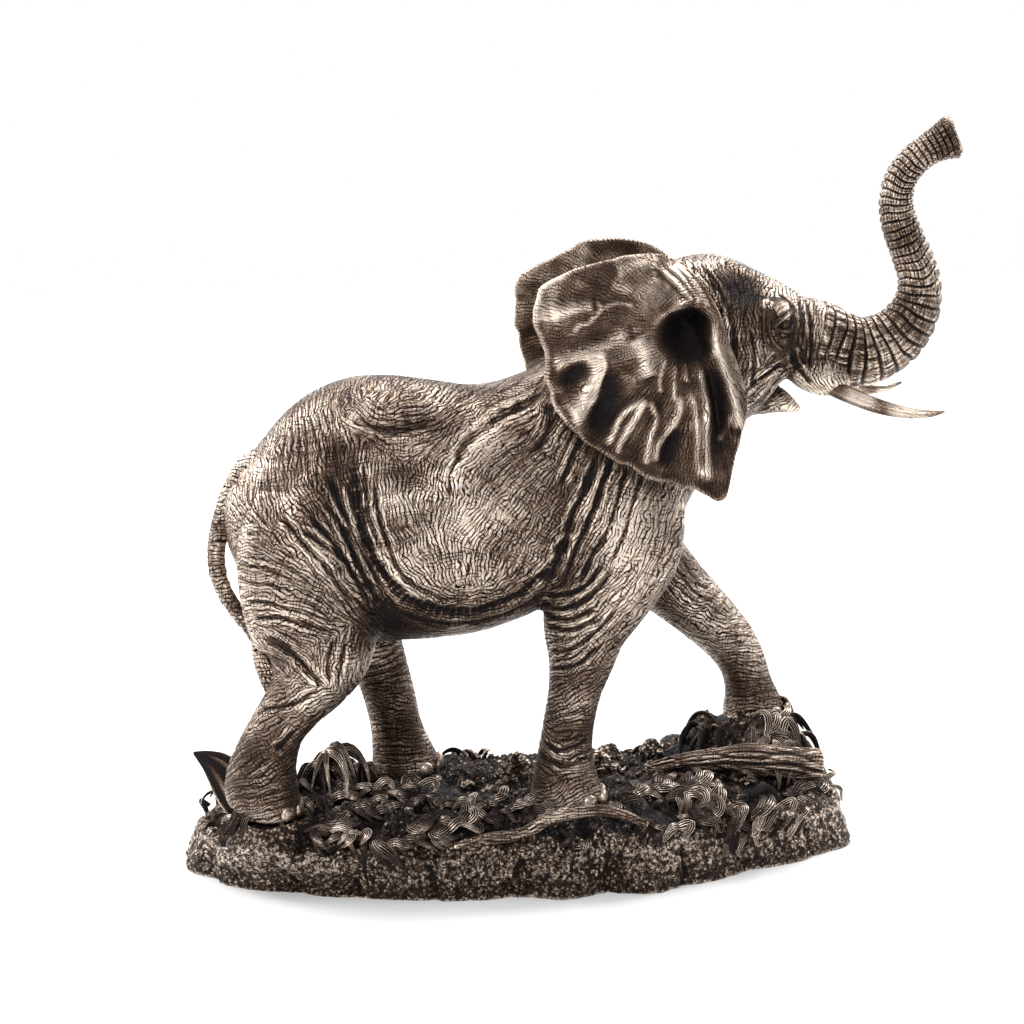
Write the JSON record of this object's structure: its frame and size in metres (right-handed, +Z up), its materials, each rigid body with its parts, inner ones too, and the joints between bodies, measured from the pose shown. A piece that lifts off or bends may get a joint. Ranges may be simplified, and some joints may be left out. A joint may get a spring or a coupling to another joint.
{
  "type": "elephant statue",
  "caption": "Bronze-finished statue of a walking African elephant with raised trunk, tusks and spread ears, standing on a modelled patch of ground with a log, a branch and grass.",
  "frame": {"origin": "centre of the ground's flat underside", "axes": "+X the way the elephant faces, +Y to the elephant's left, +Z up"},
  "size_m": [0.3022, 0.1152, 0.2886],
  "materials": {
    "elephant_bronze": "dark bronze patina rubbed bright on the high places, as a bronze-filled cast resin",
    "tusk_bronze": "paler and smoother rubbed bronze",
    "ground_bronze": "nearly black bronze patina, with bright grains and ridges"
  },
  "bodies": {
    "root": {"elephant": "elephant_bronze", "right_tusk": "tusk_bronze", "left_tusk": "tusk_bronze", "ground_base": "ground_bronze"}
  },
  "joints": []
}
